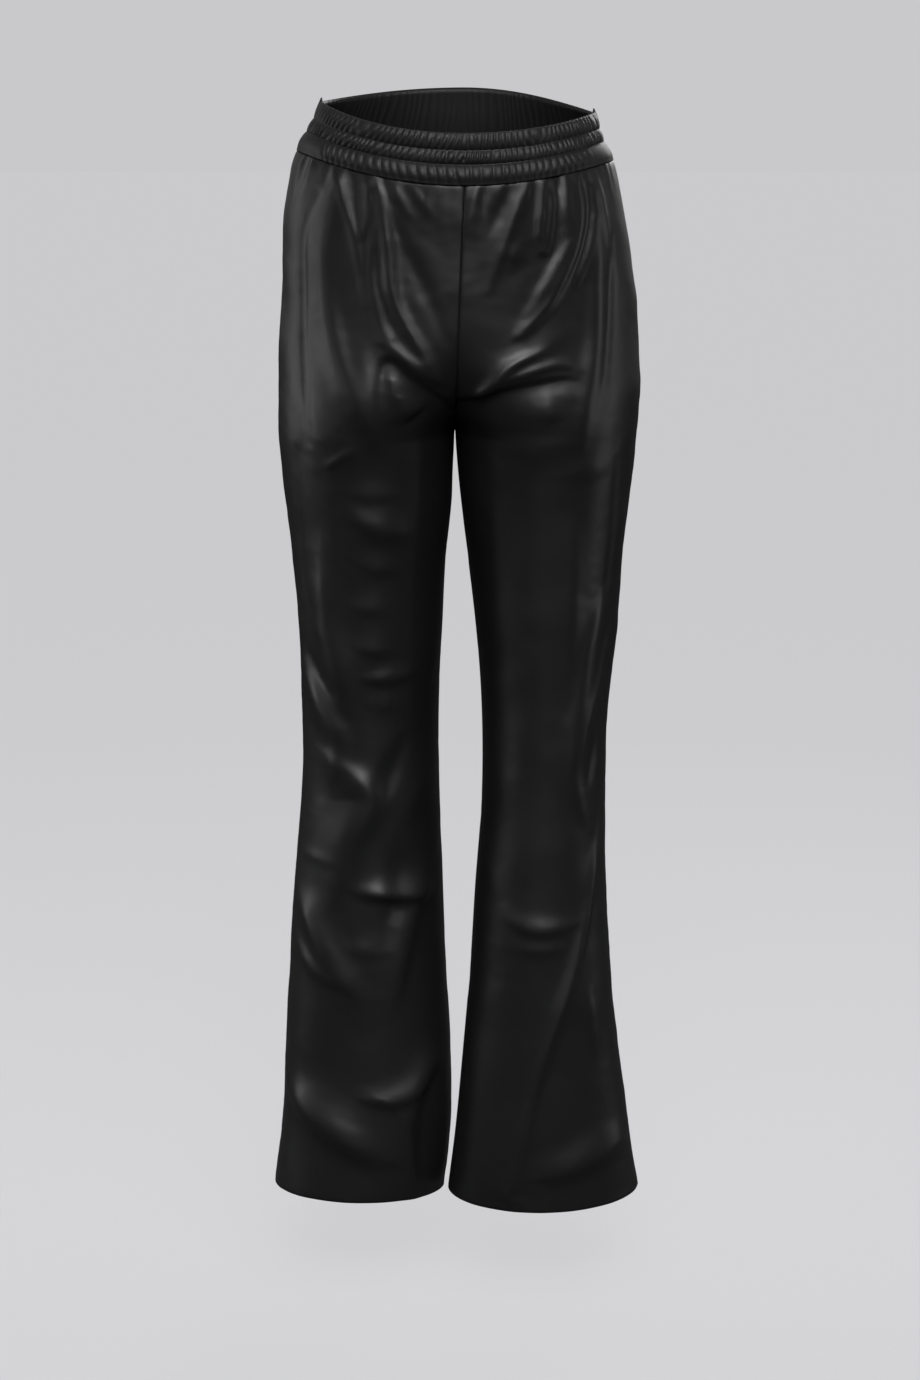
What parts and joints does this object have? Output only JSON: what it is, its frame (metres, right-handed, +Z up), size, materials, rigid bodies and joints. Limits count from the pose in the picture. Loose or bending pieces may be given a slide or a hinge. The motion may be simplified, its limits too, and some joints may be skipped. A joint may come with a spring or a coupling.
{
  "type": "leather trousers",
  "caption": "Black leather trousers with a gathered elastic waistband and legs flared to the hem, in the hollow form they have when worn.",
  "frame": {"origin": "middle of the waist opening, where the wearer holds the garment up", "axes": "+Z up from the hems to the waist, front of the garment towards -Y, the wearer's left towards +X"},
  "size_m": [0.367, 0.2417, 1.093],
  "materials": {
    "leather": "smooth black leather cloth with a soft satin gloss and a very fine grain",
    "gathered_leather": "the same black leather cloth, gathered over elastic into small ridges"
  },
  "bodies": {
    "root": {"waistband_front": "gathered_leather", "waistband_back": "gathered_leather", "front_panel_right": "leather", "front_panel_left": "leather", "back_panel_right": "leather", "back_panel_left": "leather"}
  },
  "joints": []
}
